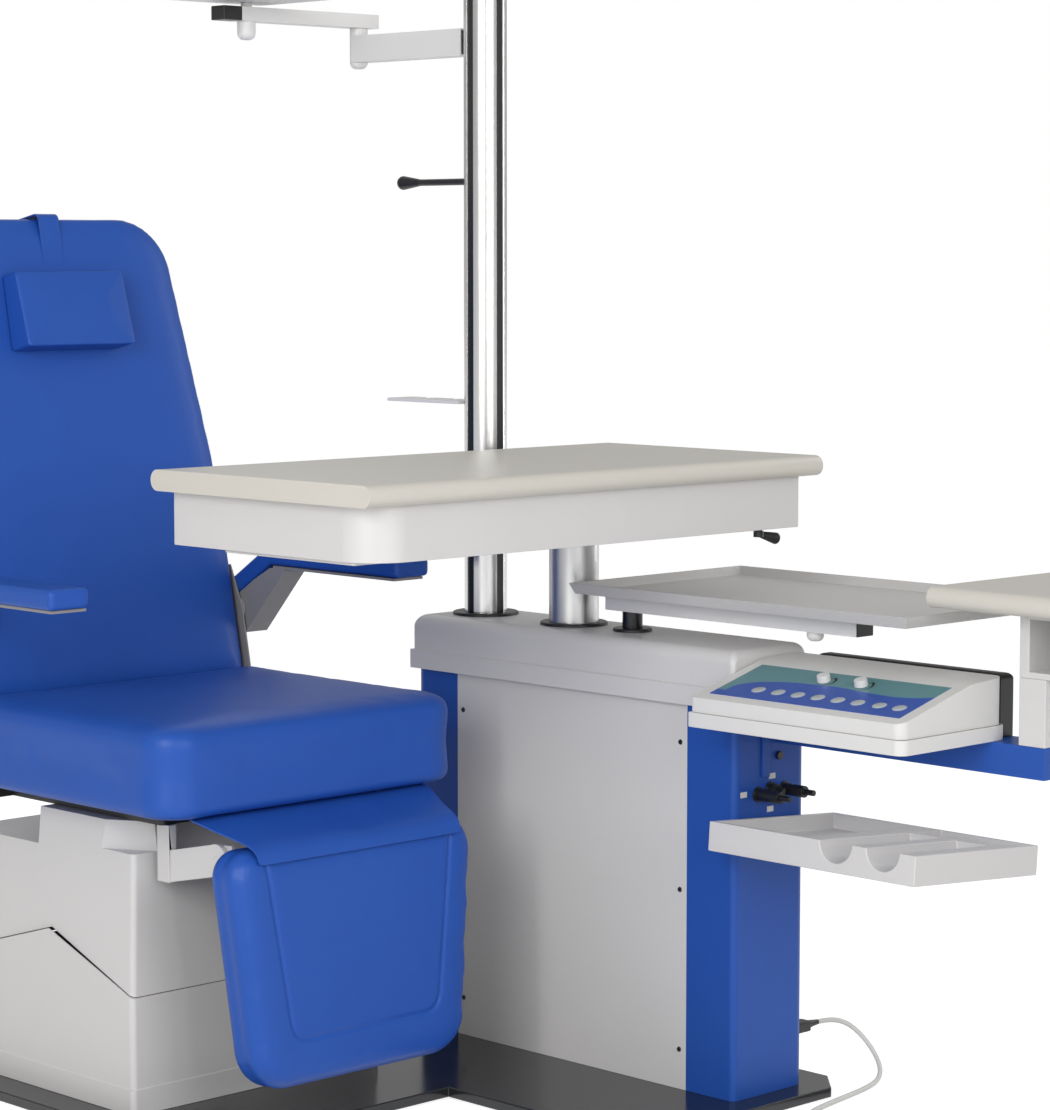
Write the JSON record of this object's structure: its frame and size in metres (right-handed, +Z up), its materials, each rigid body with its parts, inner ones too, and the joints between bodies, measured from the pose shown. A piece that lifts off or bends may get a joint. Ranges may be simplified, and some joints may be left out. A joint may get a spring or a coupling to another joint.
{
  "type": "ophthalmic examination unit",
  "caption": "Reclining and lifting examination chair with an instrument stand, swing table, trays, console and side desk on one floor plate.",
  "frame": {"origin": "on the floor, on the axis of the chair's lift", "axes": "+Z up, the sitter faces -Y, the instrument stand is at +X on the sitter's left"},
  "size_m": [1.26, 2.1087, 1.8],
  "materials": {
    "blue_vinyl": "satin upholstery vinyl",
    "white_moulding": "moulded light grey, satin",
    "grey_panel": "powder coated",
    "blue_panel": "blue enamel",
    "black_plate": "black gloss enamel",
    "black_plastic": "moulded black",
    "aluminium": "satin drawn",
    "cream_top": "moulded warm grey edge and top",
    "light_enamel": "light enamel",
    "grey_bracket": "grey enamel",
    "steel": "black primer",
    "dark_steel": "dark bright steel",
    "blue_film": "printed membrane",
    "white_knob": "moulded white",
    "white_cord": "flexible sheath"
  },
  "bodies": {
    "base": {"floor_plate": "black_plate", "base_lower_cover": "white_moulding", "base_upper_cover": "white_moulding", "chair_lift_guide": "steel", "cabinet_frame": "steel", "cabinet_side_panels": "grey_panel", "cabinet_front_cover": "blue_panel", "cabinet_rear_cover": "blue_panel", "cabinet_screws": "black_plastic", "cabinet_cap": "white_moulding", "column_collars": "black_plastic", "pillar": "aluminium", "pillar_slot_strips": "black_plastic", "table_lift_guide": "steel", "tray_post": "dark_steel", "instrument_beam": "blue_panel", "console_base": "white_moulding", "console_cover": "white_moulding", "console_overlay": "blue_film", "desk_post": "white_moulding", "desk_shelf": "white_moulding", "desk_top": "cream_top", "instrument_tray": "white_moulding", "cabinet_sockets": "black_plastic", "mains_inlet": "black_plastic", "mains_connector": "black_plastic", "mains_cord": "white_cord", "mains_coil": "white_cord", "mains_plug": "black_plastic", "accessory_holder": "light_enamel", "upper_arm_fixed": "light_enamel"},
    "seat": {"chair_lift_ram": "steel", "seat_frame": "steel", "seat_cushion": "blue_vinyl", "apron_flap": "blue_vinyl", "legrest_hangers": "grey_panel"},
    "backrest": {"backrest_cushion": "blue_vinyl", "backrest_shell": "grey_bracket", "backrest_frame": "grey_bracket", "headrest_strap": "blue_vinyl"},
    "headrest": {"headrest_pillow": "blue_vinyl"},
    "armrest_left": {"armrest_pad_left": "blue_vinyl", "armrest_bracket_left": "grey_bracket"},
    "armrest_right": {"armrest_pad_right": "blue_vinyl", "armrest_bracket_right": "grey_bracket"},
    "legrest": {"legrest_pad": "blue_vinyl", "legrest_bracket": "grey_panel"},
    "table_column": {"table_column": "aluminium"},
    "table": {"table_skirt": "white_moulding", "table_top": "cream_top"},
    "table_lock": {"table_lock_lever": "black_plastic"},
    "tray_arm": {"tray_arm": "light_enamel", "tray_arm_end_cap": "black_plastic"},
    "lens_tray": {"lens_tray": "cream_top"},
    "pillar_lever": {"pillar_lever": "black_plastic"},
    "upper_arm": {"upper_arm_swing": "light_enamel", "upper_arm_end_cap": "black_plastic"},
    "upper_shelf": {"upper_shelf": "light_enamel"},
    "console_knob_1": {"console_knob_1": "white_knob"},
    "console_knob_2": {"console_knob_2": "white_knob"}
  },
  "joints": [
    {"name": "chair_lift", "type": "slide", "parent": "base", "child": "seat", "axis": [0, 0, 1], "range_m": [0, 0.2]},
    {"name": "backrest_recline", "type": "hinge", "parent": "seat", "child": "backrest", "pos_m": [0, 0.205, 0.535], "axis": [-1, 0, 0], "range_deg": [0, 55]},
    {"name": "headrest_slide", "type": "slide", "parent": "backrest", "child": "headrest", "axis": [0, 0.1942, 0.981], "range_m": [-0.06, 0.05]},
    {"name": "armrest_left_raise", "type": "hinge", "parent": "backrest", "child": "armrest_left", "pos_m": [0.32, 0.197, 0.7], "axis": [-1, 0, 0], "range_deg": [0, 95]},
    {"name": "armrest_right_raise", "type": "hinge", "parent": "backrest", "child": "armrest_right", "pos_m": [-0.32, 0.197, 0.7], "axis": [-1, 0, 0], "range_deg": [0, 95]},
    {"name": "legrest_raise", "type": "hinge", "parent": "seat", "child": "legrest", "pos_m": [0, -0.347, 0.412], "axis": [-1, 0, 0], "range_deg": [0, 50], "deforming": ["apron_flap"]},
    {"name": "table_lift", "type": "slide", "parent": "base", "child": "table_column", "axis": [0, 0, 1], "range_m": [-0.04, 0.2]},
    {"name": "table_swing", "type": "hinge", "parent": "table_column", "child": "table", "pos_m": [0.5355, -0.36, 0.9], "axis": [0, 0, 1], "range_deg": [0, 40]},
    {"name": "table_lock_turn", "type": "hinge", "parent": "table", "child": "table_lock", "pos_m": [0.606, -0.69, 0.85], "axis": [0, 0, 1], "range_deg": [0, 90]},
    {"name": "tray_arm_swing", "type": "hinge", "parent": "base", "child": "tray_arm", "pos_m": [0.5355, -0.49, 0.74], "axis": [0, 0, 1], "range_deg": [-20, 15]},
    {"name": "tray_swing", "type": "hinge", "parent": "tray_arm", "child": "lens_tray", "pos_m": [0.5355, -0.867, 0.75], "axis": [0, 0, 1], "range_deg": [-25, 8]},
    {"name": "pillar_lever_turn", "type": "hinge", "parent": "base", "child": "pillar_lever", "pos_m": [0.5355, -0.1, 1.407], "axis": [0, 1, 0], "range_deg": [0, 270]},
    {"name": "upper_arm_swing", "type": "hinge", "parent": "base", "child": "upper_arm", "pos_m": [0.5355, 0.154, 1.68], "axis": [0, 0, 1], "range_deg": [-90, 30]},
    {"name": "upper_shelf_swing", "type": "hinge", "parent": "upper_arm", "child": "upper_shelf", "pos_m": [0.292, 0.154, 1.697], "axis": [0, 0, 1], "range_deg": [-45, 45]},
    {"name": "console_knob_1_turn", "type": "hinge", "parent": "base", "child": "console_knob_1", "pos_m": [0.4538, -0.955, 0.6724], "axis": [-0.2631, 0, 0.9648], "range_deg": [-135, 135]},
    {"name": "console_knob_2_turn", "type": "hinge", "parent": "base", "child": "console_knob_2", "pos_m": [0.4538, -1.025, 0.6724], "axis": [-0.2631, 0, 0.9648], "range_deg": [-135, 135]}
  ]
}
